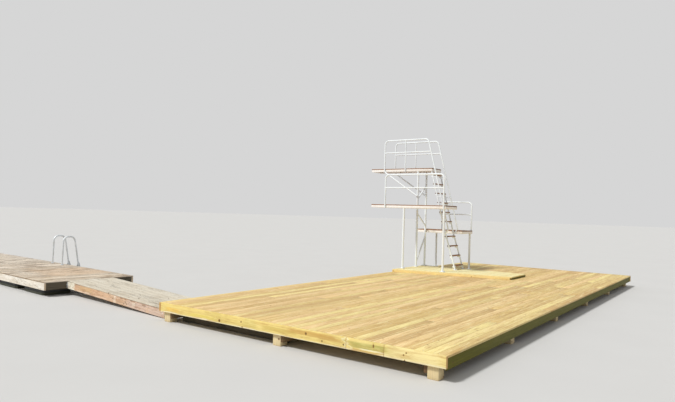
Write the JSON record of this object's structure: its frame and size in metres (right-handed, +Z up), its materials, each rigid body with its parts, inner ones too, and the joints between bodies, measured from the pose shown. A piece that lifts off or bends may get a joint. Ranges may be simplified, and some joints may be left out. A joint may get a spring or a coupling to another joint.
{
  "type": "bathing jetty with diving tower",
  "caption": "Wooden bathing jetty: plank deck on posts with a white tube diving tower of stepped platforms, an old gangway and a floating pontoon in bays with ladder hoops.",
  "frame": {"origin": "middle of the foot of the near shore corner post, at water level", "axes": "+X along the shore side of the deck, +Y out over the water, +Z up"},
  "size_m": [12.7189, 20.8086, 4.1515],
  "materials": {
    "new_wood": "new sawn pine, planed and untreated",
    "under_wood": "damp sawn pine in the shade under the deck",
    "old_wood": "weathered grey pine",
    "dark_wood": "old wet timber",
    "tread_wood": "brown stained wood, worn",
    "white_paint": "white enamel on steel tube, weathered",
    "zinc": "galvanised, dull",
    "float_plastic": "moulded black-grey plastic"
  },
  "bodies": {
    "deck": {"deck_posts": "under_wood", "deck_bearers": "under_wood", "deck_joists": "under_wood", "front_fascia": "new_wood", "lake_rim": "new_wood", "shore_rim": "new_wood", "back_rim": "new_wood", "deck_planking": "new_wood", "old_sill": "dark_wood", "step_runners": "new_wood", "step_ends": "new_wood", "step_planking": "new_wood", "tower_base_plates": "zinc", "tower_front_posts": "white_paint", "tower_tall_posts": "white_paint", "tower_rear_posts": "white_paint", "tower_braces": "white_paint", "lower_platform_frame": "white_paint", "lower_platform_planking": "old_wood", "middle_platform_frame": "white_paint", "middle_platform_planking": "old_wood", "top_platform_frame": "white_paint", "top_platform_planking": "old_wood", "near_top_railing": "white_paint", "far_top_railing": "white_paint", "middle_railing": "white_paint", "lower_railing": "white_paint", "near_ladder_side": "white_paint", "far_ladder_side": "white_paint", "ladder_treads": "tread_wood", "gangway_hinge_brackets": "zinc"},
    "gangway": {"gangway_sides": "old_wood", "gangway_beams": "dark_wood", "gangway_planking": "old_wood"},
    "pontoon": {"pontoon_hinge_brackets": "zinc", "pontoon_sides": "old_wood", "pontoon_ends": "old_wood", "pontoon_beams": "dark_wood", "pontoon_planking": "old_wood", "pontoon_floats": "float_plastic", "pontoon_couplings": "zinc", "ladder_hoops": "zinc", "ladder_brackets": "zinc", "bathing_treads": "tread_wood"}
  },
  "joints": [
    {"name": "gangway_hinge", "type": "hinge", "parent": "deck", "child": "gangway", "pos_m": [0.55668, 5.12433, 0.08722], "axis": [0.9986, -0.0523, 0], "range_deg": [0, 4]},
    {"name": "pontoon_hinge", "type": "hinge", "parent": "gangway", "child": "pontoon", "pos_m": [0.73161, 8.46219, 0.21792], "axis": [0.9986, -0.0523, 0], "range_deg": [-4, 0]}
  ],
  "couplings": [
    {"joint": "pontoon_hinge", "follows": "gangway_hinge", "ratio": -1}
  ]
}
